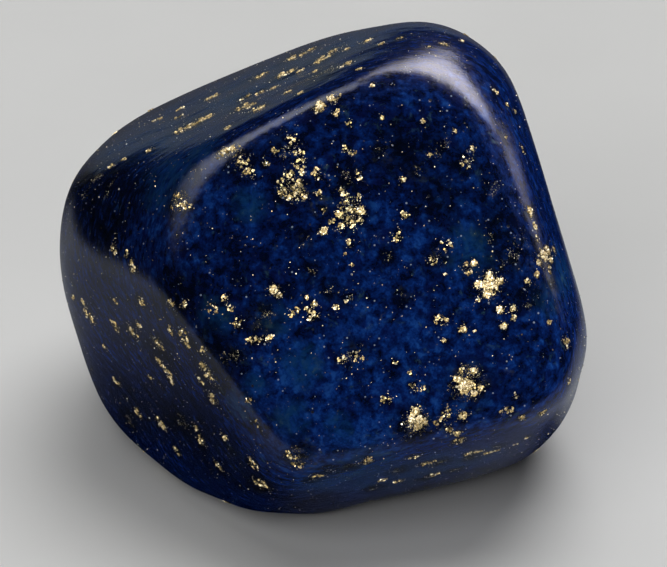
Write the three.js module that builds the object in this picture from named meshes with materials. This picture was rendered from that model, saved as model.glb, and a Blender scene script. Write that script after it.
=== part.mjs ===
// A tumbled, polished piece of lapis lazuli: one solid stone with a broad front face, narrower worn
// faces around it, rounded edges, and a small flat spot under it that it rests on.
// Millimetres, +Z up, the front face looking towards -Y. The origin is under the middle of the stone.
import * as THREE from "three";
import { mergeVertices } from "three/addons/utils/BufferGeometryUtils.js";

// The stone's worn faces, each seen from the heart of the stone.
//   azimuth, elevation: where the face looks, in degrees (azimuth 0 is +X, 90 is +Y)
//   reach: how far the face's plane is from the heart, in mm
//   wear: how far its edges are worn round, in mm
//   bow: how far its middle stands proud of its rim (or, below zero, lies hollow), in mm
const FACES = {
  front: { azimuth: -89, elevation: 35, reach: 13.0, wear: 0.7, bow: 0.5 },
  cheek: { azimuth: -143, elevation: 32, reach: 16.1, wear: 1.0, bow: 0.2 },
  top: { azimuth: 147, elevation: 67, reach: 14.5, wear: 0.7, bow: -0.2 },
  top_brow: { azimuth: 20, elevation: 84, reach: 18.1, wear: 0.8, bow: 0.2 },
  top_left: { azimuth: 159, elevation: 60, reach: 13.9, wear: 0.7, bow: -0.4 },
  top_right: { azimuth: 68, elevation: 50, reach: 18.3, wear: 0.6, bow: 0.2 },
  right_brow: { azimuth: 29, elevation: 35, reach: 19.3, wear: 0.6, bow: 0.2 },
  shoulder: { azimuth: -31, elevation: 54, reach: 19.4, wear: 0.9, bow: 0.2 },
  right: { azimuth: -19, elevation: 29, reach: 18.4, wear: 0.8, bow: 0.0 },
  right_side: { azimuth: 15, elevation: 10, reach: 16.0, wear: 0.5, bow: -0.2 },
  right_foot: { azimuth: -16, elevation: -16, reach: 20.4, wear: 1.0, bow: 0.2 },
  foot_corner: { azimuth: -29, elevation: -35, reach: 22.8, wear: 2.0, bow: 0.2 },
  under_front: { azimuth: -74, elevation: -38, reach: 17.1, wear: 0.8, bow: 0.2 },
  under_left: { azimuth: -150, elevation: -48, reach: 22.2, wear: 1.5, bow: 0.3 },
  under_foot: { azimuth: -113, elevation: -58, reach: 20.0, wear: 1.5, bow: 0.3 },
  left: { azimuth: -136, elevation: -9, reach: 15.3, wear: 0.8, bow: 0.0 },
  left_side: { azimuth: -179, elevation: -6, reach: 18.9, wear: 1.3, bow: 0.0 },
  left_brow: { azimuth: 161, elevation: 24, reach: 19.9, wear: 1.4, bow: 0.2 },
  back: { azimuth: 90, elevation: -30, reach: 14.8, wear: 1.8, bow: 0.3 },
  back_top: { azimuth: 99, elevation: 22, reach: 16.9, wear: 2.0, bow: 0.3 },
  back_right: { azimuth: 39, elevation: -13, reach: 17.3, wear: 2.0, bow: 0.3 },
  back_left: { azimuth: 152, elevation: -40, reach: 20.9, wear: 2.0, bow: 0.3 },
  base: { azimuth: 0, elevation: -90, reach: 15.6, wear: 1.4, bow: 0.2 },
};

// The soft swells and dips that tumbling leaves where faces meet, each seen from the heart.
//   height: how far the skin stands out there (or, below zero, sinks in), in mm
//   spread: how wide it is, in degrees around its middle
const SWELLS = {
  top_corner_swell: { azimuth: 47, elevation: 50, height: 0.7, spread: 10 },
  left_side_swell: { azimuth: -179, elevation: -2, height: 0.35, spread: 15 },
  left_brow_swell: { azimuth: 163, elevation: 25, height: 0.4, spread: 9 },
  left_top_swell: { azimuth: 178, elevation: 33, height: 0.3, spread: 9 },
  left_foot_dip: { azimuth: -159, elevation: -30, height: -0.45, spread: 10 },
  left_foot_swell: { azimuth: -142, elevation: -45, height: 0.2, spread: 8 },
  foot_dip: { azimuth: -124, elevation: -53, height: -0.2, spread: 7 },
  foot_swell: { azimuth: -92, elevation: -58, height: 0.5, spread: 10 },
  corner_dip: { azimuth: -32, elevation: -41, height: -0.2, spread: 9 },
  right_foot_swell: { azimuth: -17, elevation: -25, height: 0.4, spread: 8 },
  right_side_swell: { azimuth: -3, elevation: -4, height: 0.3, spread: 10 },
};

const FLAT_SPOT_BELOW_HEART = 15.3; // where the worn base is ground flat
const BOW_SPAN = 12; // the distance from a face's middle over which its bow is measured
const FINENESS = 18; // each edge of the starting icosahedron is cut in this many places
const FARTHEST = 40; // no point of the stone is this far from its heart

function direction({ azimuth, elevation }) {
  const polar = THREE.MathUtils.degToRad(90 - elevation);
  const around = THREE.MathUtils.degToRad(azimuth);
  return new THREE.Vector3(
    Math.sin(polar) * Math.cos(around),
    Math.sin(polar) * Math.sin(around),
    Math.cos(polar),
  );
}

const faces = Object.values(FACES).map((face) => ({ ...face, normal: direction(face) }));
const swells = Object.values(SWELLS).map((swell) => ({ ...swell, middle: direction(swell) }));

// Below zero inside the stone and above zero outside it: the smooth union of all that lies beyond
// a face, so that faces stay nearly flat and run into each other over rounded edges.
function outside(point) {
  let sum = 0;
  for (const { normal, reach, wear, bow } of faces) {
    const along = normal.dot(point);
    const aside = (point.lengthSq() - along * along) / (BOW_SPAN * BOW_SPAN);
    sum += Math.exp((along - reach + bow * aside) / wear);
  }
  return Math.log(sum);
}

// How far the faces are from the heart along a ray.
function faceDistance(ray) {
  let near = 0;
  let far = FARTHEST;
  while (far - near > 1e-6) {
    const middle = (near + far) / 2;
    if (outside(ray.clone().multiplyScalar(middle)) < 0) near = middle;
    else far = middle;
  }
  return near;
}

// How far the swells and dips move the skin along a ray.
function swelling(ray) {
  let rise = 0;
  for (const { middle, height, spread } of swells) {
    const away = THREE.MathUtils.radToDeg(ray.angleTo(middle)) / spread;
    rise += height * Math.exp(-away * away);
  }
  return rise;
}

function stoneGeometry() {
  const ball = new THREE.IcosahedronGeometry(1, FINENESS);
  ball.deleteAttribute("normal");
  ball.deleteAttribute("uv");
  const geometry = mergeVertices(ball, 1e-5);
  const position = geometry.attributes.position;
  for (let i = 0; i < position.count; i++) {
    const ray = new THREE.Vector3().fromBufferAttribute(position, i).normalize();
    const point = ray.clone().multiplyScalar(faceDistance(ray) + swelling(ray));
    point.z = Math.max(point.z, -FLAT_SPOT_BELOW_HEART);
    position.setXYZ(i, point.x, point.y, point.z);
  }
  geometry.computeBoundingBox();
  const { min, max } = geometry.boundingBox;
  geometry.translate(-(min.x + max.x) / 2, -(min.y + max.y) / 2, -min.z);
  geometry.computeVertexNormals();
  return geometry;
}

const lapis = new THREE.MeshStandardMaterial({ color: 0x123070, roughness: 0.2, metalness: 0 });
const stone = new THREE.Mesh(stoneGeometry(), lapis);
stone.name = "stone";

const part = new THREE.Group();
part.add(stone);

export default part;
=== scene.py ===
"""A tumbled lapis lazuli: polished blue rock sprinkled with pyrite, lying on a pale floor."""
import bpy
import math
import random
from mathutils import Matrix, Vector, noise
from mathutils.bvhtree import BVHTree
from mathutils.kdtree import KDTree


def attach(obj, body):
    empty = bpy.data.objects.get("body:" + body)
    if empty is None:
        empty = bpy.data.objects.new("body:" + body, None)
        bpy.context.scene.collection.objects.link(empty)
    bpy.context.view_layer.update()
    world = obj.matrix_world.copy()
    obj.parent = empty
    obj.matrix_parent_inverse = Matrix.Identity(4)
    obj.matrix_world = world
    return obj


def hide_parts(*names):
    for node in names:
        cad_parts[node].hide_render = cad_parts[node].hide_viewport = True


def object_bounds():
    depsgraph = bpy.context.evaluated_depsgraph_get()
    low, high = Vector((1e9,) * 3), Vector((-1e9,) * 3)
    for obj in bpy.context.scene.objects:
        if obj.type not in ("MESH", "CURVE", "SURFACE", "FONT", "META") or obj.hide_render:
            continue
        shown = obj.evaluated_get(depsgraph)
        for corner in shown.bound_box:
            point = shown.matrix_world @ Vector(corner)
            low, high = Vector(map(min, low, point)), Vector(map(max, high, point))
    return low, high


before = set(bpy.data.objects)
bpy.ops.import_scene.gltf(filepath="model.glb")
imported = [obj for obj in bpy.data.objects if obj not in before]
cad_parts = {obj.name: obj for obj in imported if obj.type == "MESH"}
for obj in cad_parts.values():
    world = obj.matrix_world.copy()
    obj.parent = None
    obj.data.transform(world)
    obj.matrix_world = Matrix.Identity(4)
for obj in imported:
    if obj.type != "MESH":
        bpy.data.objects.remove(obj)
CAD_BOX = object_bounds()

MM = 0.001

# ---- The picture: its size, and where the stone lies in it ----
PICTURE_WIDTH, PICTURE_HEIGHT = 667, 567  # px
PX = 0.072 * MM  # what one picture pixel spans at the stone
CAMERA_ELEVATION = math.radians(32)
CAMERA_DISTANCE = 230 * MM
CAMERA_NEAR = 10 * MM  # nothing nearer to the camera than this is drawn
SENSOR_WIDTH = 36  # mm
STONE_MIDDLE = (320.4, 259.3)  # px, where the middle of the stone's box lies

VIEW_BACK = Vector((0, -math.cos(CAMERA_ELEVATION), math.sin(CAMERA_ELEVATION)))
VIEW_RIGHT = Vector((1, 0, 0))
VIEW_UP = VIEW_BACK.cross(VIEW_RIGHT)
BOX_MIDDLE = (CAD_BOX[0] + CAD_BOX[1]) / 2


def picture_offset(x, y):
    """From the middle of the picture to pixel (x, y), in the plane through the aim point."""
    return VIEW_RIGHT * ((x - PICTURE_WIDTH / 2) * PX) - VIEW_UP * ((y - PICTURE_HEIGHT / 2) * PX)


AIM = BOX_MIDDLE - picture_offset(*STONE_MIDDLE)
CAMERA_PLACE = AIM + VIEW_BACK * CAMERA_DISTANCE


def make_camera():
    data = bpy.data.cameras.new("camera")
    data.sensor_width = SENSOR_WIDTH
    data.lens = SENSOR_WIDTH * CAMERA_DISTANCE / (PICTURE_WIDTH * PX)
    data.clip_start = CAMERA_NEAR
    camera = bpy.data.objects.new("camera", data)
    bpy.context.scene.collection.objects.link(camera)
    turn = Matrix((VIEW_RIGHT, VIEW_UP, VIEW_BACK)).transposed().to_4x4()
    camera.matrix_world = Matrix.Translation(CAMERA_PLACE) @ turn
    bpy.context.scene.camera = camera


# ---- Shader building blocks ----
MIX_AMOUNT, MIX_A, MIX_B, MIX_RESULT = 0, 6, 7, 2  # the mix node's sockets for colours


def set_input(tree, node, name, value):
    """Links a node's input to `value` where that is another node's output, or else sets it."""
    if isinstance(value, bpy.types.NodeSocket):
        tree.links.new(value, node.inputs[name])
    else:
        node.inputs[name].default_value = value


def add(tree, kind, inputs=(), output=0, **settings):
    """Adds one shader node, sets or links its inputs by name, and returns one of its outputs."""
    made = tree.nodes.new("ShaderNode" + kind)
    for name, value in settings.items():
        setattr(made, name, value)
    for name, value in dict(inputs).items():
        set_input(tree, made, name, value)
    return made.outputs[output]


def new_material(name):
    material = bpy.data.materials.new(name)
    material.use_nodes = True
    tree = material.node_tree
    return material, tree, tree.nodes["Principled BSDF"]


def attribute(tree, name):
    return add(tree, "Attribute", output="Fac", attribute_name=name)


def maths(tree, operation, a, b=0):
    return add(tree, "Math", {0: a, 1: b}, operation=operation)


def plus(tree, base, value, amount):
    """The base with `amount` times the value added to it."""
    return maths(tree, "ADD", base, maths(tree, "MULTIPLY", value, amount))


def product(tree, value, *others):
    for other in others:
        value = maths(tree, "MULTIPLY", value, other)
    return value


def remap(tree, value, low, high, to_low=0.0, to_high=1.0):
    """Goes smoothly from `to_low` to `to_high` as the value goes from `low` to `high`."""
    inputs = {
        "Value": value,
        "From Min": low,
        "From Max": high,
        "To Min": to_low,
        "To Max": to_high,
    }
    return add(tree, "MapRange", inputs, interpolation_type="SMOOTHSTEP")


def scaled(tree, vector, amount):
    return add(tree, "VectorMath", {0: vector, "Scale": amount}, operation="SCALE")


def moved(tree, place, step):
    """The place moved by `step`. Two patterns at places moved apart don't look alike."""
    return add(tree, "VectorMath", {0: place, 1: step}, operation="ADD")


def dot(tree, vector, way):
    """How far the vector reaches along the direction `way`."""
    return add(tree, "VectorMath", {0: vector, 1: way}, output="Value", operation="DOT_PRODUCT")


def along(tree, place, way, start, end, to_start, to_end):
    """A value that goes from `to_start` to `to_end` along the direction `way`."""
    return remap(tree, dot(tree, place, way), start, end, to_start, to_end)


def place_in_mm(tree):
    """The place on the piece, in its own frame, in millimetres."""
    return scaled(tree, add(tree, "TexCoord", output="Object"), 1 / MM)


def skin_normal(tree):
    """Which way the skin faces, in the piece's own frame."""
    return add(tree, "TexCoord", output="Normal")


def clouds(tree, place, size, detail, roughness, distortion=0.0):
    """Cloudy noise from 0 to 1 whose lumps are about `size` millimetres across."""
    inputs = {
        "Vector": place,
        "Scale": 1 / size,
        "Detail": detail,
        "Roughness": roughness,
        "Distortion": distortion,
    }
    return add(tree, "TexNoise", inputs)


def pinpoints(tree, place, density, commonness, size):
    """Scattered round dots: 1 inside a dot, 0 outside."""
    cell = {"Vector": place, "Scale": density}
    distance = add(tree, "TexVoronoi", cell, output="Distance")
    luck = add(tree, "SeparateColor", {"Color": add(tree, "TexVoronoi", cell, output="Color")})
    reach = remap(tree, luck, 1 - commonness, 1.0, 0.0, size * density)
    return remap(tree, maths(tree, "SUBTRACT", reach, distance), -0.01, 0.03)


def blend(tree, amount, a, b, way="MIX"):
    """Colour a with colour b over it by `amount`."""
    made = tree.nodes.new("ShaderNodeMix")
    made.data_type = "RGBA"
    made.blend_type = way
    set_input(tree, made, MIX_AMOUNT, amount)
    for socket, colour in ((MIX_A, a), (MIX_B, b)):
        set_input(tree, made, socket, (*colour, 1) if isinstance(colour, tuple) else colour)
    return made.outputs[MIX_RESULT]


def ramp(tree, value, stops):
    """The colour at `value` on a scale of (position, colour) stops."""
    made = tree.nodes.new("ShaderNodeValToRGB")
    tree.links.new(value, made.inputs[0])
    elements = made.color_ramp.elements
    while len(elements) < len(stops):
        elements.new(1)
    for element, (position, colour) in zip(elements, stops):
        element.position = position
        element.color = (*colour, 1)
    return made.outputs[0]


# ---- The blue rock ----
BLUES = (  # from the darkest veins to the brightest blue
    (0.34, (0.0006, 0.0034, 0.022)),
    (0.43, (0.0012, 0.0074, 0.056)),
    (0.50, (0.0020, 0.0132, 0.094)),
    (0.57, (0.0030, 0.0225, 0.150)),
    (0.64, (0.0052, 0.0380, 0.222)),
    (0.72, (0.0110, 0.0680, 0.300)),
)
VIOLET_BLUE = (0.0050, 0.0090, 0.085)
TEAL_COLOUR = (0.0050, 0.0440, 0.160)
# The grey-teal cloud colour is also painted sheen along the bottom strip.
CLOUD_AND_SHEEN_COLOUR = (0.030, 0.080, 0.125)
OLIVE_COLOUR = (0.056, 0.062, 0.044)
# The slate colour also paints shade on the lower left face, which faces away from the light.
SLATE_AND_SHADE_COLOUR = (0.0030, 0.0052, 0.0140)
# The near black colour also paints shade: in the dark corner at the upper left, and in the pits.
NIGHT_AND_SHADE_COLOUR = (0.0007, 0.0018, 0.0055)
SPECK_COLOUR = (0.46, 0.54, 0.68)
LAPIS_IOR = 1.5

LAYER_NORMAL = Vector((0.014, -0.819, 0.574))  # the rock's faint layers lie along the front face
BLOTCH_SQUEEZE, STREAK_SQUEEZE = 1.8, 3.5  # how flat the layers make blotches and streaks

# How much each pattern counts in the rock's tone, together 1
STREAK_SHARE, MOTTLE_SHARE, LUMP_SHARE, GRAIN_SHARE = 0.22, 0.44, 0.12, 0.22
MIDDLE_TONE = 0.5
CONTRAST = 1.55  # how strongly the mottling swings about its middle tone
CROSS_CONTRAST = 0.6 * CONTRAST  # the same where the skin cuts across the layers
ROYAL_AND_LIT_LIFT = 0.064  # how much brighter the rock's tone is where marked; along the bottom strip this is painted light
DEEP_DROP = 0.043  # how much darker it is where marked deep
LUMP_SIZE = 0.42  # mm, across one of the rock's soft lumps
WANDER_SIZE, WANDER_REACH = 0.4, 0.35  # mm, how long and how wide the lumps' borders wander

# The relief that only the shading shows, each height in units of RELIEF_UNIT
RELIEF_UNIT = 0.006 * MM
GRAIN_HEIGHT = 0.90
STREAK_HEIGHT, CROSS_STREAK_HEIGHT = 0.8, 3.0  # along the layers, and across them
TOP_WAVE_HEIGHT = 30.0
PIT_DEPTH = 3.0


def layered_place(tree, squeeze):
    """The place in millimetres, stretched across the rock's layers so that patches come out flat."""
    place = place_in_mm(tree)
    across = maths(tree, "MULTIPLY", dot(tree, place, LAYER_NORMAL), squeeze)
    return moved(tree, place, scaled(tree, LAYER_NORMAL, across))


def along_layers(tree):
    """1 where the skin lies along the rock's layers, 0 where it cuts straight across them."""
    return maths(tree, "ABSOLUTE", dot(tree, skin_normal(tree), LAYER_NORMAL))


def soft_lumps(tree, place):
    """Soft lumps with wandering borders, each with a tone of its own."""
    wander = add(tree, "TexNoise", {"Vector": place, "Scale": 1 / WANDER_SIZE}, output="Color")
    warped = moved(tree, place, scaled(tree, wander, WANDER_REACH))
    cell = {"Vector": warped, "Scale": 1 / LUMP_SIZE, "Smoothness": 0.7}
    colour = add(tree, "TexVoronoi", cell, output="Color", feature="SMOOTH_F1")
    return add(tree, "SeparateColor", {"Color": colour})


def mottling(tree, place, streaks, grain):
    """The rock's blue: soft blotches, mottles and a fine grain, violet in places."""
    mottle_place = moved(tree, place, (7, 3, 1))
    mottle = clouds(tree, mottle_place, 0.80, detail=3, roughness=0.52, distortion=0.4)
    tone = maths(tree, "MULTIPLY", streaks, STREAK_SHARE)
    tone = plus(tree, tone, mottle, MOTTLE_SHARE)
    tone = plus(tree, tone, soft_lumps(tree, place), LUMP_SHARE)
    tone = plus(tree, tone, grain, GRAIN_SHARE)
    contrast = remap(tree, along_layers(tree), 0.35, 0.85, CROSS_CONTRAST, CONTRAST)
    swing = maths(tree, "MULTIPLY", maths(tree, "SUBTRACT", tone, MIDDLE_TONE), contrast)
    # Painted light in part: the tone is lifted where marked, along the bottom strip in place of light
    # from below.
    swing = plus(tree, swing, attribute(tree, "royal_and_lit"), ROYAL_AND_LIT_LIFT)
    swing = plus(tree, swing, attribute(tree, "deep"), -DEEP_DROP)
    colour = ramp(tree, maths(tree, "ADD", swing, MIDDLE_TONE), BLUES)
    violet = clouds(tree, moved(tree, place, (4, 8, 15)), 1.6, detail=2, roughness=0.5)
    return blend(tree, remap(tree, violet, 0.52, 0.70, 0.0, 0.32), colour, VIOLET_BLUE)


def with_clouds_and_sheen(tree, colour, wisps, patchy):
    """Teal and grey-teal clouds, here and there on their own and stronger where marked; along the bottom
    strip the marked ones are painted sheen.
    """
    marked = attribute(tree, "cloud_and_sheen")
    teal = product(tree, marked, remap(tree, wisps, 0.38, 0.58, 0.22, 0.88))
    colour = blend(tree, teal, colour, TEAL_COLOUR)
    cloud_and_sheen = product(tree, marked, remap(tree, wisps, 0.50, 0.64, 0.0, 0.5))
    cloud_and_sheen = maths(tree, "ADD", remap(tree, wisps, 0.58, 0.72), cloud_and_sheen)
    cloud_and_sheen = product(tree, cloud_and_sheen, remap(tree, patchy, 0.40, 0.62, 0.05, 0.75))
    return blend(tree, cloud_and_sheen, colour, CLOUD_AND_SHEEN_COLOUR)


def with_olive_stains(tree, colour, place, patchy):
    """Olive stains, here and there on their own and stronger where marked."""
    stain_place = moved(tree, place, (13, 25, 2))
    stains = clouds(tree, stain_place, 0.8, detail=4, roughness=0.65, distortion=0.6)
    marked = product(tree, attribute(tree, "olive"), remap(tree, stains, 0.44, 0.60))
    stain = maths(tree, "ADD", remap(tree, stains, 0.64, 0.76), marked)
    stain = product(tree, stain, remap(tree, patchy, 0.42, 0.60, 0.0, 0.8))
    return blend(tree, stain, colour, OLIVE_COLOUR)


def with_slate_and_shade(tree, colour, streaks):
    """Duller, greyer slate where marked: partly the rock's own dull tone, partly painted shade on the
    lower left face.
    """
    slate_and_shade = product(tree, attribute(tree, "slate_and_shade"), remap(tree, streaks, 0.35, 0.65, 0.8, 0.35))
    return blend(tree, slate_and_shade, colour, SLATE_AND_SHADE_COLOUR)


def with_dark_rock_and_shade(tree, colour, place):
    """Near black rock around the pyrite, in dark patches and in small soft holes in the blue, and
    painted shade in the dark corner at the upper left where marked.
    """
    holes = clouds(tree, moved(tree, place, (5, 41, 9)), 0.75, detail=3, roughness=0.6)
    night_and_shade = product(tree, attribute(tree, "night_and_shade"), remap(tree, holes, 0.35, 0.60, 0.5, 0.95))
    night_and_shade = maths(tree, "MAXIMUM", night_and_shade, remap(tree, holes, 0.57, 0.72, 0.0, 0.5))
    return blend(tree, night_and_shade, colour, NIGHT_AND_SHADE_COLOUR)


def with_calcite(tree, colour):
    """Pale pinpoints of calcite, fainter where the skin cuts across the layers."""
    dots = pinpoints(tree, place_in_mm(tree), density=3.2, commonness=0.17, size=0.075)
    dots = product(tree, dots, remap(tree, along_layers(tree), 0.35, 0.65, 0.1, 0.60))
    return blend(tree, dots, colour, SPECK_COLOUR)


def top_waves(tree):
    """Low waves drawn out sideways, only on the top of the stone, where the polish is less even."""
    stretch = {0: place_in_mm(tree), 1: (0.35, 1.0, 1.0)}
    stretched = add(tree, "VectorMath", stretch, operation="MULTIPLY")
    waves = clouds(tree, stretched, 2.2, detail=2, roughness=0.45, distortion=0.3)
    upward = along(tree, skin_normal(tree), (0, 0, 1), 0.60, 0.80, 0.0, 1.0)
    across = remap(tree, along_layers(tree), 0.36, 0.48, 1.0, 0.0)
    return product(tree, upward, across, waves)


def lapis_relief(tree, place, streaks, grain, pits):
    """The polish's unevenness: soft swells, grain, streaks, waves on top, and pits."""
    height = clouds(tree, place, 0.9, detail=2, roughness=0.5)
    height = plus(tree, height, grain, GRAIN_HEIGHT)
    streak_height = remap(tree, along_layers(tree), 0.30, 0.65, CROSS_STREAK_HEIGHT, STREAK_HEIGHT)
    height = plus(tree, height, streaks, streak_height)
    height = plus(tree, height, top_waves(tree), TOP_WAVE_HEIGHT)
    height = plus(tree, height, pits, -PIT_DEPTH)
    return add(tree, "Bump", {"Strength": 1.0, "Distance": RELIEF_UNIT, "Height": height})


def lapis_roughness(tree, patchy, grain, pits, wisps):
    """A good polish, a little duller in patches, in the grain, in the pits and in the wisps."""
    roughness = remap(tree, patchy, 0.3, 0.7, 0.10, 0.16)
    roughness = plus(tree, roughness, grain, 0.05)
    roughness = plus(tree, roughness, pits, 0.5)
    return maths(tree, "ADD", roughness, remap(tree, wisps, 0.5, 0.7, 0.0, 0.07))


def lapis_material():
    material, tree, shader = new_material("lapis")
    place = layered_place(tree, BLOTCH_SQUEEZE)
    streak_place = layered_place(tree, STREAK_SQUEEZE)
    streaks = clouds(tree, streak_place, 2.2, detail=4, roughness=0.55, distortion=0.5)
    grain = clouds(tree, moved(tree, place, (2, 9, 4)), 0.16, detail=2, roughness=0.6)
    patchy = clouds(tree, moved(tree, place, (3, 17, 5)), 0.5, detail=5, roughness=0.7)
    wisp_place = moved(tree, place, (31, 5, 8))
    wisps = clouds(tree, wisp_place, 1.0, detail=4, roughness=0.65, distortion=0.8)
    pit_place = moved(tree, place_in_mm(tree), (11, 2, 6))
    pits = pinpoints(tree, pit_place, density=0.75, commonness=0.70, size=0.13)

    colour = mottling(tree, place, streaks, grain)
    # Painted sheen in part: teal and grey-teal along the bottom strip where marked.
    colour = with_clouds_and_sheen(tree, colour, wisps, patchy)
    colour = with_olive_stains(tree, colour, place, patchy)
    # Painted shade in part: the lower left face darkened towards dull slate where marked.
    colour = with_slate_and_shade(tree, colour, streaks)
    # Painted shade in part: the dark corner at the upper left is marked near black.
    colour = with_dark_rock_and_shade(tree, colour, place)
    colour = with_calcite(tree, colour)
    # Painted shade: the pits darkened to near black.
    colour = blend(tree, pits, colour, NIGHT_AND_SHADE_COLOUR)

    set_input(tree, shader, "Base Color", colour)
    set_input(tree, shader, "Roughness", lapis_roughness(tree, patchy, grain, pits, wisps))
    set_input(tree, shader, "Normal", lapis_relief(tree, place, streaks, grain, pits))
    set_input(tree, shader, "IOR", LAPIS_IOR)
    return material


WELD_DISTANCE = 0.001 * MM
SMOOTHING_LEVELS = 2
WAVE_SIZE = 5 * MM  # the slow waves that tumbling leaves in the polished skin
WAVE_HEIGHT = 0.02 * MM
RIPPLE_FINENESS, RIPPLE_SHARE = 2.3, 0.5  # finer and lower waves on top of them
FLAT_SPOT_TOP = 0.05 * MM  # the skin has no waves below this, where the stone rests


def make_stone():
    """The stone's fine skin: the CAD solid's facets smoothed, with slow shallow waves in them."""
    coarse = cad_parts["stone"]
    mesh = bpy.data.meshes.new("lapis_stone")
    mesh.from_pydata(
        [vertex.co[:] for vertex in coarse.data.vertices],
        [],
        [face.vertices[:] for face in coarse.data.polygons],
    )
    stone = bpy.data.objects.new("lapis_stone", mesh)
    bpy.context.scene.collection.objects.link(stone)
    weld = stone.modifiers.new("weld", "WELD")
    weld.merge_threshold = WELD_DISTANCE
    smooth = stone.modifiers.new("smooth", "SUBSURF")
    smooth.levels = smooth.render_levels = SMOOTHING_LEVELS
    evaluated = stone.evaluated_get(bpy.context.evaluated_depsgraph_get())
    fine = bpy.data.meshes.new_from_object(evaluated)
    fine.name = "lapis_stone"
    stone.modifiers.clear()
    stone.data = fine
    bpy.data.meshes.remove(mesh)
    waved = []
    for vertex in fine.vertices:
        ripple = noise.noise(vertex.co * RIPPLE_FINENESS / WAVE_SIZE)
        wave = noise.noise(vertex.co / WAVE_SIZE) + RIPPLE_SHARE * ripple
        rise = wave * WAVE_HEIGHT if vertex.co.z > FLAT_SPOT_TOP else 0
        waved.extend(vertex.co + vertex.normal * rise)
    fine.vertices.foreach_set("co", waved)
    fine.shade_smooth()
    fine.materials.clear()
    fine.materials.append(lapis_material())
    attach(stone, "root")
    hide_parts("stone")
    return stone


# ---- Where the markings lie on the side that the camera sees: picture x, y and size, in px ----
MASSES = [  # bright grains in a matrix of olive-brown dust
    (180, 201, 22), (221, 154, 13), (234, 150, 15), (290, 187, 24), (300, 190, 18), (350, 210, 26),
    (318, 107, 14), (335, 96, 12), (417, 420, 14), (466, 372, 14), (545, 258, 20), (531, 212, 12),
]
NUGGETS = [  # bright, nearly solid masses
    (490, 286, 22), (478, 284, 9), (500, 281, 7), (489, 276, 11), (487, 294, 10), (416, 412, 9),
    (474, 263, 7), (478, 300, 4), (500, 310, 8), (513, 309, 8), (514, 318, 5), (503, 326, 7),
    (463, 329, 8), (446, 320, 4), (544, 256, 16), (548, 250, 10), (539, 263, 8), (551, 260, 7),
    (537, 274, 6), (530, 210, 10), (535, 226, 8), (464, 386, 25), (474, 371, 10), (474, 393, 9),
    (457, 379, 8), (480, 388, 7), (417, 424, 20), (411, 420, 9), (424, 421, 8), (463, 416, 11),
    (274, 290, 11), (279, 295, 5), (323, 231, 8), (302, 172, 6), (324, 230, 6), (226, 151, 10),
    (232, 149, 6), (320, 105, 14), (331, 98, 10), (336, 307, 6), (314, 304, 6), (307, 297, 4),
    (309, 318, 4), (444, 341, 4), (475, 331, 3), (446, 274, 3), (423, 121, 4), (382, 118, 4),
    (373, 85, 5), (403, 179, 5), (346, 301, 3), (352, 265, 3), (345, 254, 3), (361, 211, 10),
    (341, 226, 6), (339, 214, 7),
]
KNOTS = [  # looser knots of mid gold
    (289, 173, 7), (281, 190, 9), (293, 196, 10), (299, 186, 9), (306, 197, 6), (317, 174, 9),
    (318, 193, 5), (300, 163, 9), (292, 141, 9), (299, 153, 9), (265, 163, 5), (242, 160, 12),
    (250, 171, 10), (275, 152, 5), (187, 205, 6), (341, 192, 6), (347, 193, 5), (348, 200, 5),
    (358, 197, 6), (352, 222, 10), (361, 220, 5), (332, 221, 4), (324, 210, 4), (350, 211, 8),
    (352, 153, 6), (346, 150, 5), (359, 176, 7), (350, 244, 6), (447, 245, 10), (434, 260, 8),
    (397, 236, 8), (405, 215, 6), (466, 268, 9), (441, 320, 9), (567, 342, 11), (569, 381, 6),
    (537, 240, 5), (554, 251, 6), (549, 270, 4), (528, 280, 5), (550, 322, 5), (447, 411, 9),
    (440, 421, 8), (449, 429, 6), (457, 434, 9), (459, 441, 12), (473, 453, 14), (488, 453, 9),
    (495, 451, 6), (510, 410, 8), (503, 412, 5), (523, 418, 7), (543, 413, 9), (516, 396, 4),
    (527, 438, 5), (516, 444, 4), (427, 463, 13), (433, 475, 11), (414, 457, 10), (399, 481, 8),
    (383, 480, 8), (414, 386, 7), (423, 388, 4), (409, 371, 4), (395, 362, 5), (386, 400, 8),
    (417, 412, 12), (315, 317, 7), (310, 311, 6), (292, 313, 5), (298, 311, 5), (357, 354, 10),
    (342, 359, 8), (366, 461, 11), (291, 455, 11), (297, 464, 10), (318, 476, 11), (258, 424, 5),
    (248, 400, 4), (252, 341, 8), (267, 338, 8), (259, 340, 5), (237, 323, 8), (213, 308, 9),
    (226, 300, 7), (231, 308, 5), (472, 149, 7), (466, 162, 9), (431, 155, 4), (454, 131, 4),
    (346, 64, 12), (360, 69, 6), (366, 41, 8), (336, 114, 6), (349, 123, 5), (371, 461, 5),
]
DUST = [  # dull patches of fine olive-brown dust
    (305, 240, 12), (231, 358, 22), (381, 151, 14), (417, 172, 12), (401, 294, 11), (355, 352, 16),
    (310, 270, 14), (465, 162, 16), (440, 258, 18), (505, 262, 26), (528, 296, 22), (551, 283, 12),
    (495, 237, 16), (330, 290, 14), (262, 318, 24), (345, 297, 12), (387, 256, 12), (412, 426, 26),
    (470, 384, 30), (300, 452, 18), (320, 75, 30), (95, 178, 26), (490, 190, 20), (108, 190, 20),
    (85, 195, 16), (196, 175, 16), (240, 160, 26), (520, 243, 20), (440, 150, 20), (350, 180, 22),
    (285, 150, 20), (330, 470, 16), (352, 466, 14), (400, 470, 18), (440, 462, 18), (425, 478, 14),
    (375, 488, 16), (470, 458, 14), (455, 470, 12), (500, 446, 12), (312, 480, 12), (130, 420, 20),
    (180, 420, 24), (160, 350, 30), (210, 375, 26),
]
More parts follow.
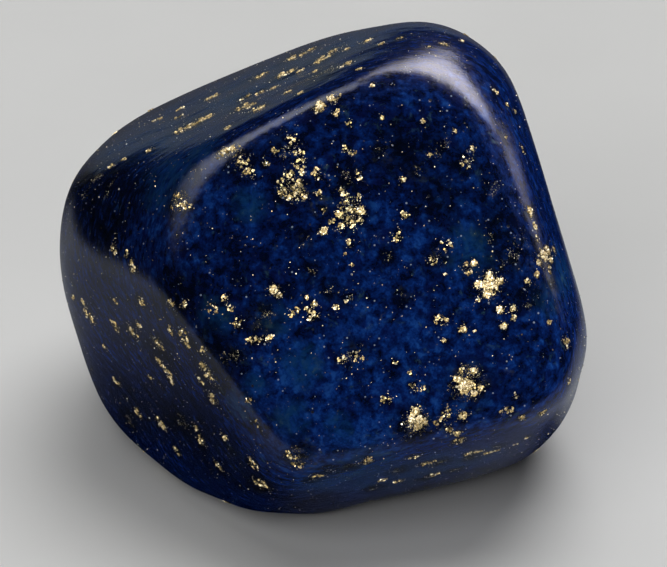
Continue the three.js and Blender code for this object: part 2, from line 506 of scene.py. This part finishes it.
TOP_STREAKS = [  # on the top, drawn out along its layers
    (183, 129, 20), (192, 125, 20), (200, 120, 20), (206, 118, 14), (242, 107, 18), (250, 106, 12),
    (258, 108, 16), (257, 77, 15), (265, 73, 7), (284, 74, 22), (292, 71, 12), (295, 57, 22),
    (310, 50, 14), (327, 56, 22), (318, 62, 14), (335, 50, 12), (212, 97, 12), (215, 96, 9),
    (206, 100, 6), (178, 117, 9), (158, 119, 10), (180, 109, 8), (244, 98, 12), (260, 92, 9),
    (273, 88, 9), (287, 92, 8), (300, 71, 9), (313, 72, 8), (110, 167, 9), (123, 160, 8),
    (150, 150, 8), (227, 128, 9), (300, 93, 9), (380, 44, 9), (345, 50, 8), (444, 44, 9),
    (461, 41, 6), (429, 47, 5), (400, 38, 7), (515, 112, 6), (521, 146, 6), (507, 104, 3),
    (495, 91, 8), (506, 136, 3), (524, 152, 4),
]
LEFT_STREAKS = [  # on the left face, drawn out along its layers
    (183, 335, 12), (186, 344, 8), (202, 350, 8), (140, 300, 10), (134, 269, 8), (131, 262, 6),
    (114, 248, 10), (126, 255, 6), (132, 331, 13), (138, 325, 8), (116, 327, 9), (112, 322, 5),
    (160, 345, 10), (160, 362, 10), (167, 371, 11), (171, 380, 7), (206, 373, 12), (200, 380, 8),
    (213, 398, 13), (204, 366, 6), (201, 440, 10), (218, 465, 9), (252, 463, 11), (262, 485, 14),
    (88, 315, 11), (84, 304, 7), (105, 348, 6), (160, 423, 11), (164, 428, 7), (138, 413, 9),
    (117, 382, 9), (73, 297, 6), (92, 320, 7), (150, 378, 5), (185, 305, 7), (172, 304, 6),
    (224, 436, 8), (196, 428, 8), (250, 400, 5), (116, 302, 5), (170, 330, 7), (176, 450, 8),
]
CLOUD_AND_SHEEN_SPOTS = [  # teal and grey-teal clouds; along the bottom strip, painted sheen
    (302, 365, 26), (292, 417, 22), (339, 428, 18), (216, 317, 22), (277, 319, 20), (470, 250, 30),
    (168, 174, 45), (380, 476, 60), (430, 468, 60), (335, 480, 50), (250, 205, 20), (200, 150, 26),
    (470, 460, 40), (360, 470, 50), (410, 480, 40), (240, 405, 20), (255, 385, 16), (180, 172, 30),
    (156, 196, 20), (170, 135, 60), (230, 100, 60), (290, 70, 60), (330, 50, 50), (120, 140, 50),
    (560, 270, 30), (548, 300, 20),
]
OLIVE_SPOTS = [  # olive stains
    (382, 153, 14), (418, 173, 12), (505, 262, 16), (550, 285, 14), (318, 206, 12), (232, 458, 20),
    (262, 486, 20), (305, 462, 22), (340, 472, 20), (400, 486, 24), (440, 470, 26), (480, 456, 22),
    (250, 85, 80), (195, 118, 80), (310, 62, 60), (305, 240, 10), (401, 294, 9), (356, 352, 12),
    (262, 318, 18), (231, 358, 16), (440, 258, 12), (412, 426, 20), (470, 384, 22), (180, 220, 14),
]
SLATE_AND_SHADE_SPOTS = [  # duller, greyer rock, and painted shade on the lower left face, which faces away from the light
    (200, 440, 80), (250, 485, 60), (230, 470, 60), (130, 400, 60), (300, 500, 40), (170, 420, 60),
]
NIGHT_AND_SHADE_SPOTS = [  # near black rock, and painted shade in the dark corner at the upper left, between the top, front and left faces
    (175, 300, 40), (210, 345, 36), (440, 200, 34), (400, 150, 34), (500, 230, 30), (90, 200, 46),
    (110, 180, 46), (130, 195, 44), (100, 222, 36), (85, 180, 40), (115, 215, 40), (95, 200, 46),
    (110, 235, 30),
]
DEEP_SPOTS = [  # darker blue
    (250, 250, 60), (215, 270, 60), (280, 215, 50), (330, 150, 50), (420, 160, 56), (380, 120, 40),
    (180, 400, 90), (140, 340, 70), (220, 450, 60), (90, 270, 60),
]
ROYAL_AND_LIT_SPOTS = [  # brighter blue; along the bottom strip, painted light in place of light from the floor
    (305, 380, 60), (350, 330, 50), (390, 430, 60), (450, 380, 50), (400, 475, 70), (340, 480, 60),
    (460, 460, 60), (168, 180, 70), (300, 466, 50), (385, 488, 50), (440, 474, 40),
]

# ---- Pyrite ----
# Each grain's tone runs from SHADOW, a painted shade, through GOLD, the pyrite's own colour, to BRIGHT,
# a painted highlight.
BRIGHT, GOLD, SHADOW = (1.0, 0.92, 0.69), (0.72, 0.55, 0.25), (0.14, 0.105, 0.040)
OLIVE_DUST = (0.110, 0.100, 0.045)
PYRITE_METALLIC = 0.8
SEED = 11
LAYERED = 0.35  # how much flatter than round the rock's layers make a cluster
REST_CLEARANCE = 0.25 * MM  # no grain lies lower than this, where the stone rests
HIDDEN_CLUSTERS = 340  # places drawn all over the stone; those facing the camera stay empty
SPECKS = 5200

# One grain: a crystal with a ragged rim, sunk in the rock, and a flat top that leans
GRAIN_SINK = 0.02 * MM  # how deep its rim sits in the rock
GRAIN_SIDES = (5, 7)  # fewest and most
GRAIN_TOP = 0.68  # how wide its top is, of its rim
LOWEST_CORNER = 0.3  # how high its top's lowest corner is, at least, of its height


def pyrite_material():
    material, tree, shader = new_material("pyrite")
    tone = add(tree, "Attribute", output="Color", attribute_name="tone")
    tarnish = clouds(tree, place_in_mm(tree), 0.09, detail=3, roughness=0.7)
    colour = blend(tree, remap(tree, tarnish, 0.35, 0.7, 0.75, 0.0), tone, SHADOW, "MULTIPLY")
    bumps = add(tree, "Bump", {"Strength": 0.6, "Distance": 0.01 * MM, "Height": tarnish})
    set_input(tree, shader, "Base Color", colour)
    set_input(tree, shader, "Roughness", remap(tree, tarnish, 0.3, 0.7, 0.28, 0.45))
    set_input(tree, shader, "Metallic", PYRITE_METALLIC)
    set_input(tree, shader, "Normal", bumps)
    return material


class GrainBed:
    """Collects many small closed crystal grains and joins them in one piece."""

    def __init__(self, skin, dice):
        self.skin = skin
        self.dice = dice
        self.points, self.faces, self.tones = [], [], []

    def add_grain(self, near, radius, height, tilt, tone):
        """A grain at the skin's place nearest to `near`, whose top leans by up to `tilt` radians."""
        dice = self.dice
        place, up, _, _ = self.skin.find_nearest(near)
        if place.z < REST_CLEARANCE:
            return
        side = up.orthogonal().normalized()
        other = up.cross(side)
        sides = dice.randint(*GRAIN_SIDES)
        start = dice.uniform(0, math.tau)
        lean_way = dice.uniform(0, math.tau)
        lean = math.tan(dice.uniform(0, tilt))
        stretch = dice.uniform(0.7, 1.0)
        first = len(self.points)
        for top in (False, True):
            for k in range(sides):
                angle = start + math.tau * (k + dice.uniform(-0.25, 0.25)) / sides
                ring = radius * dice.uniform(0.85, 1.1) * (GRAIN_TOP if top else 1.0)
                x, y = ring * math.cos(angle), ring * math.sin(angle) * stretch
                rise = -GRAIN_SINK
                if top:
                    rise = height + lean * (x * math.cos(lean_way) + y * math.sin(lean_way))
                    rise = max(rise, LOWEST_CORNER * height)
                self.points.append(place + side * x + other * y + up * rise)
        for k in range(sides):
            following = (k + 1) % sides
            self.faces.append((first + k, first + following, first + sides + following))
            self.faces.append((first + k, first + sides + following, first + sides + k))
        self.faces.append(tuple(first + sides + k for k in range(sides)))
        self.faces.append(tuple(first + k for k in reversed(range(sides))))
        self.tones.extend([tone] * (2 * sides))

    def finish(self, name, material):
        mesh = bpy.data.meshes.new(name)
        mesh.from_pydata(self.points, [], self.faces)
        colours = mesh.attributes.new("tone", "FLOAT_COLOR", "POINT")
        for entry, tone in zip(colours.data, self.tones):
            entry.color = (*tone, 1)
        mesh.materials.append(material)
        piece = bpy.data.objects.new(name, mesh)
        bpy.context.scene.collection.objects.link(piece)
        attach(piece, "root")
        return piece


def mixed(a, b, share):
    return tuple(x + (y - x) * share for x, y in zip(a, b))


def from_0_to_1(value):
    return min(1, max(0, value))


def skin_at_pixel(skin, x, y):
    """Where the line of sight through pixel (x, y) meets the stone, and the skin's normal there."""
    sight = (AIM + picture_offset(x, y) - CAMERA_PLACE).normalized()
    place, up, _, _ = skin.ray_cast(CAMERA_PLACE, sight)
    return place, up


def scatter(dice, middle, up, reach):
    """A random place in a disc of radius `reach` around `middle`, denser at its heart."""
    side = up.orthogonal().normalized()
    angle, away = dice.uniform(0, math.tau), reach * dice.random() ** 0.6
    step = side * (away * math.cos(angle)) + up.cross(side) * (away * math.sin(angle))
    return middle + step - LAYER_NORMAL * (LAYERED * LAYER_NORMAL.dot(step))


def how_many(number, size, usual_size, growth):
    """How many a cluster of `size` holds, where one of `usual_size` holds `number`."""
    return round(number * (size / usual_size) ** growth)


# The kinds of cluster, each made at `middle`, where the skin's normal is `up`
def add_lump(bed, middle, up, reach, brightness):
    """A knot of overlapping grains, with painted light and shade: some given lit tones and some shadowed
    ones.
    """
    dice = bed.dice
    own = brightness + dice.uniform(-0.25, 0.2)
    for _ in range(max(2, how_many(9, reach, 0.2 * MM, growth=1.6))):
        share = from_0_to_1(dice.gauss(own, 0.32))
        # Painted highlight and shade: the grain's tone is lit or shadowed by chance.
        tone = mixed(GOLD, BRIGHT, share * 2 - 1) if share > 0.5 else mixed(SHADOW, GOLD, share * 2)
        radius = dice.uniform(0.05, 0.12) * MM
        height = dice.uniform(0.02, 0.05) * MM
        bed.add_grain(scatter(dice, middle, up, reach), radius, height, 0.7, tone)


def add_nugget(bed, middle, up, width, brightness):
    """A nearly solid mass with a ragged outline and crumbs around it."""
    dice = bed.dice
    reach = width / 2
    for _ in range(max(1, how_many(3.6, reach, 0.26 * MM, growth=1.6))):
        lump_reach = min(reach, dice.uniform(0.13, 0.26) * MM)
        spot = scatter(dice, middle, up, max(0, reach - lump_reach) * dice.uniform(0.4, 1.0))
        add_lump(bed, spot, up, lump_reach, brightness)
    add_matrix(bed, middle, up, width * 1.15, per_mm=45)
    add_crumbs(bed, middle, up, reach * 1.7, round(12 * width / MM), brightness)


def add_mass(bed, middle, up, width, brightness):
    """Rounded bright grains set close together in a matrix of dark olive-gold dust."""
    dice = bed.dice
    add_matrix(bed, middle, up, width, per_mm=60)
    for _ in range(how_many(5.5, width, MM, growth=1.4)):
        spot = scatter(dice, middle, up, width / 2)
        add_lump(bed, spot, up, dice.uniform(0.05, 0.12) * MM, brightness)


def add_crumb_cluster(bed, middle, up, width, brightness):
    """A few small knots with rock between them."""
    dice = bed.dice
    reach = width / 2
    for _ in range(max(1, how_many(3.2, reach, 0.3 * MM, growth=1.4))):
        spot = scatter(dice, middle, up, reach)
        add_lump(bed, spot, up, dice.uniform(0.06, 0.18) * MM, brightness)
    add_matrix(bed, middle, up, width, per_mm=22)
    add_crumbs(bed, middle, up, reach * 1.5, round(16 * width / MM), brightness)


def add_dust(bed, middle, up, width, brightness):
    """Fine dull dust in a few ragged clumps, with a few brighter grains in it."""
    dice = bed.dice
    clumps = [scatter(dice, middle, up, width / 2) for _ in range(dice.randint(3, 6))]
    for _ in range(how_many(26, width, MM, growth=1.7)):
        # Painted highlight on the brighter dust grains.
        tone = mixed(OLIVE_DUST, BRIGHT, from_0_to_1(dice.gauss(brightness, 0.2)))
        spot = scatter(dice, dice.choice(clumps), up, width * dice.uniform(0.08, 0.35))
        radius = min(0.05, dice.lognormvariate(-3.85, 0.4)) * MM
        bed.add_grain(spot, radius, 0.008 * MM, 0.5, tone)


def add_matrix(bed, middle, up, width, per_mm):
    """Fine dark olive-gold grains that fill the gaps in a cluster, `per_mm` in one 1 mm wide."""
    dice = bed.dice
    for _ in range(how_many(per_mm, width, MM, growth=1.8)):
        tone = mixed(OLIVE_DUST, GOLD, from_0_to_1(dice.gauss(0.15, 0.25)))
        spot = scatter(dice, middle, up, width / 2)
        bed.add_grain(spot, dice.uniform(0.018, 0.045) * MM, 0.01 * MM, 0.5, tone)


def add_crumbs(bed, middle, up, reach, count, brightness):
    """Single small grains around a cluster."""
    dice = bed.dice
    for _ in range(count):
        # Painted highlight and shade in the tone.
        tone = mixed(SHADOW, BRIGHT, from_0_to_1(dice.gauss(brightness, 0.3)))
        spot = scatter(dice, middle, up, reach)
        radius, height = dice.uniform(0.015, 0.05) * MM, dice.uniform(0.01, 0.02) * MM
        bed.add_grain(spot, radius, height, 0.5, tone)


# Each piece's kind of cluster, its brightness, how much wider it is than its marks, and those marks
SEEN_PYRITE = {
    "pyrite_nuggets": (add_nugget, 0.58, 1.05, NUGGETS),
    "pyrite_masses": (add_mass, 0.42, 1.05, MASSES),
    "pyrite_knots": (add_crumb_cluster, 0.46, 1.22, KNOTS),
    "pyrite_dust": (add_dust, 0.2, 1.0, DUST),
    "pyrite_top": (add_crumb_cluster, 0.34, 1.0, TOP_STREAKS),
    "pyrite_left": (add_crumb_cluster, 0.42, 1.35, LEFT_STREAKS),
}
HIDDEN_KINDS = (add_crumb_cluster, add_crumb_cluster, add_nugget, add_dust)
HIDDEN_WIDTHS = (4, 28)  # px, the narrowest and the widest hidden cluster
SPECK_RADII = (0.012, 0.08)  # mm, the smallest and the largest speck

# Where each of the rock's markings lies
MARKINGS = {
    "cloud_and_sheen": CLOUD_AND_SHEEN_SPOTS,
    "olive": OLIVE_SPOTS,
    "night_and_shade": NIGHT_AND_SHADE_SPOTS,
    "royal_and_lit": ROYAL_AND_LIT_SPOTS,
    "deep": DEEP_SPOTS,
    "slate_and_shade": SLATE_AND_SHADE_SPOTS,
}
PYRITE_NIGHT = 1.1  # how far the near black rock reaches from a cluster's middle, in cluster widths


def random_spots(mesh, dice, count):
    """Places spread evenly over the stone's skin, with the skin's normal there."""
    faces = mesh.polygons
    areas = [face.area for face in faces]
    drawn = dice.choices(range(len(faces)), areas, k=count)
    return [(faces[k].center.copy(), faces[k].normal.copy()) for k in drawn]


def make_seen_pyrite(bed, rows, add_cluster, brightness, spread):
    """Makes the marked clusters, and returns the middle and width of each mark."""
    seeds = []
    for x, y, width in rows:
        middle, up = skin_at_pixel(bed.skin, x, y)
        add_cluster(bed, middle, up, spread * width * PX, brightness)
        seeds.append((middle, width * PX))
    return seeds


def make_hidden_pyrite(bed, mesh):
    """Makes clusters where the camera doesn't see the stone, and returns each one's middle and width."""
    dice = bed.dice
    narrowest, widest = HIDDEN_WIDTHS
    seeds = []
    for middle, up in random_spots(mesh, dice, HIDDEN_CLUSTERS):
        width = min(widest, max(narrowest, dice.lognormvariate(2.1, 0.45))) * PX
        add_cluster = dice.choice(HIDDEN_KINDS)
        if up.dot((CAMERA_PLACE - middle).normalized()) < 0:
            brightness = 0.2 if add_cluster is add_dust else dice.uniform(0.4, 0.85)
            add_cluster(bed, middle, up, width, brightness)
            seeds.append((middle, width))
    return seeds


def make_specks(bed, mesh):
    """Makes single small grains all over the stone."""
    dice = bed.dice
    smallest, largest = SPECK_RADII
    for middle, _ in random_spots(mesh, dice, SPECKS):
        radius = min(largest, max(smallest, dice.lognormvariate(-3.7, 0.5))) * MM
        # Painted highlight and shade in the tone.
        tone = mixed(SHADOW, BRIGHT, dice.random())
        bed.add_grain(middle, radius, 0.3 * radius, 0.5, tone)


def make_pyrite(stone):
    """All the pyrite, in pieces. The rock around its clusters is marked near black."""
    mesh = stone.data
    skin = BVHTree.FromPolygons(
        [vertex.co for vertex in mesh.vertices], [face.vertices[:] for face in mesh.polygons]
    )
    material = pyrite_material()
    dice = random.Random(SEED)
    pieces = []
    seeds = []
    for name, (add_cluster, brightness, spread, rows) in SEEN_PYRITE.items():
        bed = GrainBed(skin, dice)
        seeds += make_seen_pyrite(bed, rows, add_cluster, brightness, spread)
        pieces.append(bed.finish(name, material))
    bed = GrainBed(skin, dice)
    seeds += make_hidden_pyrite(bed, mesh)
    pieces.append(bed.finish("pyrite_hidden_side", material))
    bed = GrainBed(skin, dice)
    make_specks(bed, mesh)
    pieces.append(bed.finish("pyrite_specks", material))
    mark_rock(stone, skin, seeds)
    return pieces


def mark_rock(stone, skin, seeds):
    """Writes each marking on the stone's vertices, from 1 in the middle of a spot to 0 at its rim."""
    marks = {
        name: [(skin_at_pixel(skin, x, y)[0], reach * PX) for x, y, reach in spots]
        for name, spots in MARKINGS.items()
    }
    marks["night_and_shade"] += [(middle, PYRITE_NIGHT * width) for middle, width in seeds]
    places = [vertex.co for vertex in stone.data.vertices]
    tree = KDTree(len(places))
    for index, place in enumerate(places):
        tree.insert(place, index)
    tree.balance()
    for name, spots in marks.items():
        values = [0.0] * len(places)
        for middle, reach in spots:
            for _, index, distance in tree.find_range(middle, reach):
                values[index] = max(values[index], 1 - (distance / reach) ** 2)
        layer = stone.data.attributes.new(name, "FLOAT", "POINT")
        layer.data.foreach_set("value", values)


# ---- Floor and studio light ----
CIRCLE_CORNERS = 96
FLOOR_RADIUS = 3.0
FLOOR_COLOUR = (0.70, 0.70, 0.69)
AMBIENT = (0.004, 0.004, 0.0042)

LAVENDER = (0.95, 0.91, 1.0)
PALE_BLUE = (0.80, 0.84, 1.0)
COOL_GREY = (0.90, 0.95, 1.0)
SKY_BLUE = (0.52, 0.75, 1.0)

PANEL_HEIGHT = 0.6
# Outlines of the panels that shine in the polish, in units of their height
KEY_OUTLINE = [
    (-0.26, 0.72), (-0.08, 0.82), (0.16, 0.57), (0.33, 0.33), (0.51, 0.15), (0.72, 0.02),
    (1.05, 0.02), (1.60, 0.20), (1.90, 0.45), (1.08, 0.38), (0.76, 0.58), (0.57, 0.92),
    (0.48, 1.30), (0.42, 1.70), (0.30, 2.12), (0.01, 2.45), (-0.28, 1.95),
]
RIM_OUTLINE = [
    (-0.30, 0.75), (-0.16, 0.40), (-0.24, 0.23), (-0.32, 0.17), (-0.41, 0.09), (-0.50, -0.03),
    (-0.49, -0.18), (-0.60, -0.36), (-1.01, -0.63), (-1.90, -0.80), (-2.15, -0.46), (-1.80, -0.07),
    (-1.32, 0.28), (-1.06, 0.50), (-0.82, 0.66), (-0.58, 0.76), (-0.36, 0.82),
]
KEY_GLOW = 11.0
RIM_GLOW = 3.9

# The upright panels: azimuth and elevation of their corners, in degrees, seen from the stone
STANDING_PANEL_AWAY = 0.8
SIDE_PANEL = [(4, 28), (17, 26), (26, 9), (12, 8)]
BACK_PANEL = [(80, -1), (120, -1), (120, 5), (80, 5)]
SIDE_GLOW = 2.6
BACK_GLOW = 0.29

# The card just under the floor that the polish shows in the floor's place
FLOOR_GLOW_RADIUS = 1.5
FLOOR_GLOW_LEVEL = -0.5 * MM
FLOOR_GLOW = 1.0
GLOW_MIDDLE = (-5 * MM, -1 * MM, 0)  # the glow is dark around here, under the stone
RIGHT_GLOW_MIDDLE = (8 * MM, -4 * MM, 0)  # the same for its part to the right

# Small lights that only the pyrite receives: name, place, size in metres and power in watts
SPARKLES = (
    ("sparkle_front", (0.15, -0.5, 0.55), 0.22, 6.0),
    ("sparkle_low", (-0.2, -0.65, 0.06), 0.25, 4.0),
    ("sparkle_left", (-0.6, -0.2, 0.5), 0.22, 5.0),
)


def circle(radius, level):
    turns = [math.tau * k / CIRCLE_CORNERS for k in range(CIRCLE_CORNERS)]
    return [(radius * math.cos(turn), radius * math.sin(turn), level) for turn in turns]


def one_face(name, points, material):
    """A new object of one flat face with these corners."""
    mesh = bpy.data.meshes.new(name)
    mesh.from_pydata(points, [], [tuple(range(len(points)))])
    mesh.materials.append(material)
    made = bpy.data.objects.new(name, mesh)
    bpy.context.scene.collection.objects.link(made)
    return made


def make_floor():
    """A plain pale floor, dull, with a hint of unevenness in its tone."""
    material, tree, shader = new_material("floor")
    place = add(tree, "TexCoord", output="Object")
    paper = add(tree, "TexNoise", {"Vector": place, "Scale": 40.0, "Detail": 3.0})
    shade = remap(tree, paper, 0.3, 0.7, 0.97, 1.0)
    set_input(tree, shader, "Base Color", blend(tree, shade, (0, 0, 0), FLOOR_COLOUR))
    set_input(tree, shader, "Roughness", 0.9)
    set_input(tree, shader, "Specular IOR Level", 0.0)
    floor = one_face("floor", circle(FLOOR_RADIUS, 0), material)
    floor.visible_glossy = False  # polished surfaces show the floor glow instead
    return floor


def make_panel(name, points, glow, fade, colour=LAVENDER):
    """A glowing panel that shows in polished surfaces but doesn't light dull ones."""
    material = bpy.data.materials.new(name)
    material.use_nodes = True
    tree = material.node_tree
    tree.nodes.clear()
    place = add(tree, "TexCoord", output="Object")
    strength = maths(tree, "MULTIPLY", fade(tree, place), glow)
    light = add(tree, "Emission", {"Color": (*colour, 1), "Strength": strength})
    end = tree.nodes.new("ShaderNodeOutputMaterial")
    tree.links.new(light, end.inputs["Surface"])
    panel = one_face(name, points, material)
    panel.visible_diffuse = False
    panel.visible_camera = False
    panel.visible_shadow = False


def level_panel(outline):
    return [(x * PANEL_HEIGHT, y * PANEL_HEIGHT, PANEL_HEIGHT) for x, y in outline]


def standing_panel(corners):
    points = []
    for azimuth, elevation in corners:
        a, e = math.radians(azimuth), math.radians(elevation)
        way = Vector((math.cos(e) * math.cos(a), math.cos(e) * math.sin(a), math.sin(e)))
        points.append(BOX_MIDDLE + way * STANDING_PANEL_AWAY)
    return points


def key_fade(tree, place):
    """Brightest at its near right corner, dimmer to the far side, to the left and into its tail."""
    far = along(tree, place, (0, 1, 0), 0.5 * PANEL_HEIGHT, 2.3 * PANEL_HEIGHT, 1.0, 0.03)
    left = along(tree, place, (1, 0, 0), -0.2 * PANEL_HEIGHT, 0.36 * PANEL_HEIGHT, 0.33, 1.0)
    tail = along(tree, place, (1, 0, 0), 0.6 * PANEL_HEIGHT, 1.6 * PANEL_HEIGHT, 1.0, 0.28)
    return product(tree, far, left, tail)


def rim_fade(tree, place):
    """Brightest midway along its inner edge, weaker outwards and towards both its ends."""
    near = along(tree, place, (0, 1, 0), -0.8 * PANEL_HEIGHT, 0.35 * PANEL_HEIGHT, 0.30, 1.0)
    outward = along(tree, place, (-0.8, 0.6, 0), 0.45 * PANEL_HEIGHT, 1.2 * PANEL_HEIGHT, 1.0, 0.28)
    far = along(tree, place, (0, 1, 0), 0.35 * PANEL_HEIGHT, 0.90 * PANEL_HEIGHT, 1.0, 0.5)
    return product(tree, near, outward, far)


def side_fade(tree, place):
    """Dimmer low down."""
    return along(tree, place, (0, 0, 1), 0.05, 0.35, 0.4, 1.0)


def back_fade(tree, place):
    """Brightest low down, so that slight waves in the stone's top show as streaks."""
    return along(tree, place, (0, 0, 1), 0.0, 0.09, 1.7, 0.3)


def floor_fade(tree, place):
    """What the polish shows low down: near black under the stone, and brightest to the left."""
    away = add(tree, "VectorMath", {0: place, 1: GLOW_MIDDLE}, output="Value", operation="DISTANCE")
    way = add(tree, "VectorMath", {0: place}, operation="NORMALIZE")
    near = product(
        tree,
        remap(tree, away, 11 * MM, 30 * MM, 0.0, 0.19),
        remap(tree, away, 30 * MM, 62 * MM, 1.0, 0.0),
        along(tree, way, (0.8, 0.6, 0), 0.45, 0.80, 1.0, 0.0),
    )
    under = product(
        tree,
        remap(tree, away, 6 * MM, 11 * MM, 0.0, 0.030),
        remap(tree, away, 11 * MM, 20 * MM, 1.0, 0.0),
        along(tree, place, (1, 0, 0), -5 * MM, 1 * MM, 0.0, 1.0),
    )
    left = product(
        tree,
        remap(tree, away, 18 * MM, 75 * MM, 0.0, 0.51),
        along(tree, place, (-1, 0, 0), 0, 25 * MM, 0.0, 1.0),
        along(tree, way, (-0.95, -0.3, 0), 0.30, 0.80, 0.0, 1.0),
        remap(tree, away, 110 * MM, 190 * MM, 1.0, 0.0),
    )
    behind = product(
        tree,
        along(tree, way, (0, 1, 0), 0.78, 0.92, 0.0, 0.12),
        remap(tree, away, 60 * MM, 150 * MM, 0.6, 1.0),
    )
    sides = maths(tree, "ADD", maths(tree, "ADD", near, under), left)
    sides = maths(tree, "ADD", sides, right_glow(tree, place, way))
    return maths(tree, "ADD", sides, behind)


def right_glow(tree, place, way):
    """The part of the floor's glow to the right of the stone."""
    middle = {0: place, 1: RIGHT_GLOW_MIDDLE}
    away = add(tree, "VectorMath", middle, output="Value", operation="DISTANCE")
    return product(
        tree,
        remap(tree, away, 11 * MM, 17 * MM, 0.0, 0.30),
        remap(tree, away, 34 * MM, 64 * MM, 1.0, 0.0),
        along(tree, way, (0.95, 0.3, 0), 0.30, 0.70, 0.0, 1.0),
    )


def make_panels():
    make_panel("key_panel", level_panel(KEY_OUTLINE), KEY_GLOW, key_fade)
    make_panel("rim_panel", level_panel(RIM_OUTLINE), RIM_GLOW, rim_fade, PALE_BLUE)
    make_panel("side_panel", standing_panel(SIDE_PANEL), SIDE_GLOW, side_fade)
    make_panel("back_panel", standing_panel(BACK_PANEL), BACK_GLOW, back_fade, SKY_BLUE)
    card = circle(FLOOR_GLOW_RADIUS, FLOOR_GLOW_LEVEL)
    make_panel("floor_glow", card, FLOOR_GLOW, floor_fade, COOL_GREY)


def make_light(name, place, size, power, lights_only=(), shows=False):
    """A round soft light aimed at the stone: `size` metres wide, with `power` in watts.

    Only pieces in `lights_only`, if any, receive it. Where it `shows`, polished ones mirror it."""
    data = bpy.data.lights.new(name, "AREA")
    data.shape = "DISK"
    data.size = size
    data.energy = power
    light = bpy.data.objects.new(name, data)
    bpy.context.scene.collection.objects.link(light)
    light.location = place
    light.rotation_mode = "QUATERNION"
    light.rotation_quaternion = (Vector(place) - BOX_MIDDLE).to_track_quat("Z", "Y")
    light.visible_glossy = shows
    if lights_only:
        receivers = bpy.data.collections.new(name)
        for piece in lights_only:
            receivers.objects.link(piece)
        light.light_linking.receiver_collection = receivers


def make_lights(stone, pyrite, floor):
    make_light("overhead_light", (0.0, 0.1, 0.9), size=0.8, power=2.35)
    both = [stone, *pyrite]
    make_light("right_light", (0.49, -0.13, 0.37), size=0.25, power=2.0, lights_only=both)
    make_light("low_fill", (-0.14, -0.68, 0.05), size=0.3, power=0.22, lights_only=[stone])
    make_light("floor_light", (0.20, 0.20, 0.9), size=0.7, power=4.1, lights_only=[floor])
    make_light("floor_fill", (-0.25, -0.60, 0.6), size=0.7, power=3.0, lights_only=[floor])
    for name, place, size, power in SPARKLES:
        make_light(name, place, size, power, lights_only=pyrite, shows=True)
    world = bpy.data.worlds.new("studio")
    world.use_nodes = True
    world.node_tree.nodes["Background"].inputs["Color"].default_value = (*AMBIENT, 1)
    bpy.context.scene.world = world
    bpy.context.scene.view_settings.view_transform = "Standard"


make_camera()
stone = make_stone()
pyrite = make_pyrite(stone)
floor = make_floor()
make_panels()
make_lights(stone, pyrite, floor)
